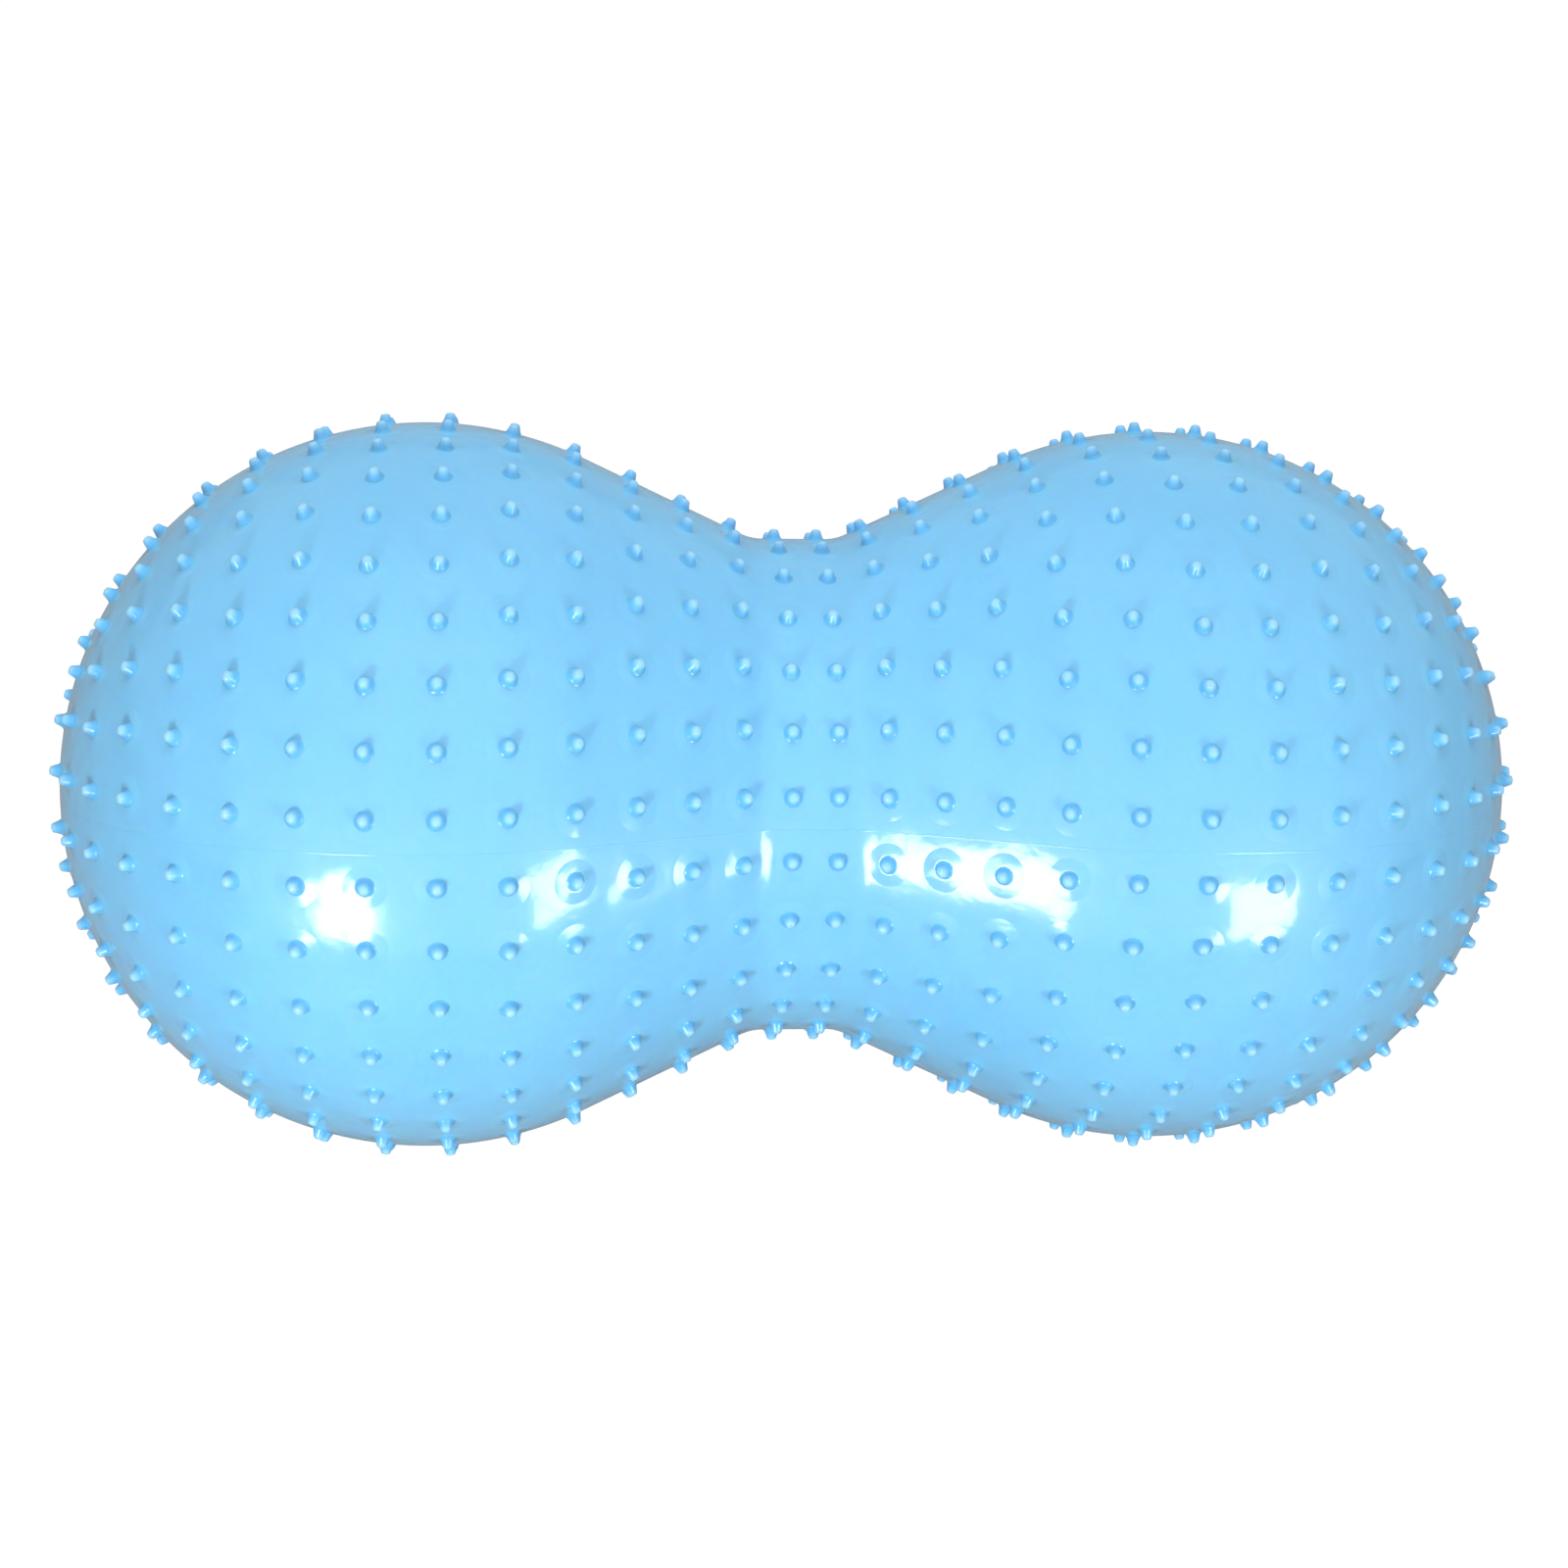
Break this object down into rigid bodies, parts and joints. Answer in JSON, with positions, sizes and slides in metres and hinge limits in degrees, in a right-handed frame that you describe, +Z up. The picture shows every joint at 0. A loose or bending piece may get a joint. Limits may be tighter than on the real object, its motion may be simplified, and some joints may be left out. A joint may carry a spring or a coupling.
{
  "type": "peanut exercise ball",
  "caption": "Inflated peanut-shaped exercise ball of glossy soft plastic, with two round lobes, a waist between them and small blunt massage spikes all over.",
  "frame": {"origin": "middle of the base, on the floor under the waist", "axes": "+X along the ball through both lobes, towards the end with the valve; +Z up; -Y is the front"},
  "size_m": [0.9138, 0.4686, 0.4671],
  "materials": {
    "skin": "glossy soft PVC, light sky blue, slightly translucent",
    "plug": "white moulded plastic, satin"
  },
  "bodies": {
    "root": {"ball_skin": "skin", "valve_plug": "plug"}
  },
  "joints": []
}
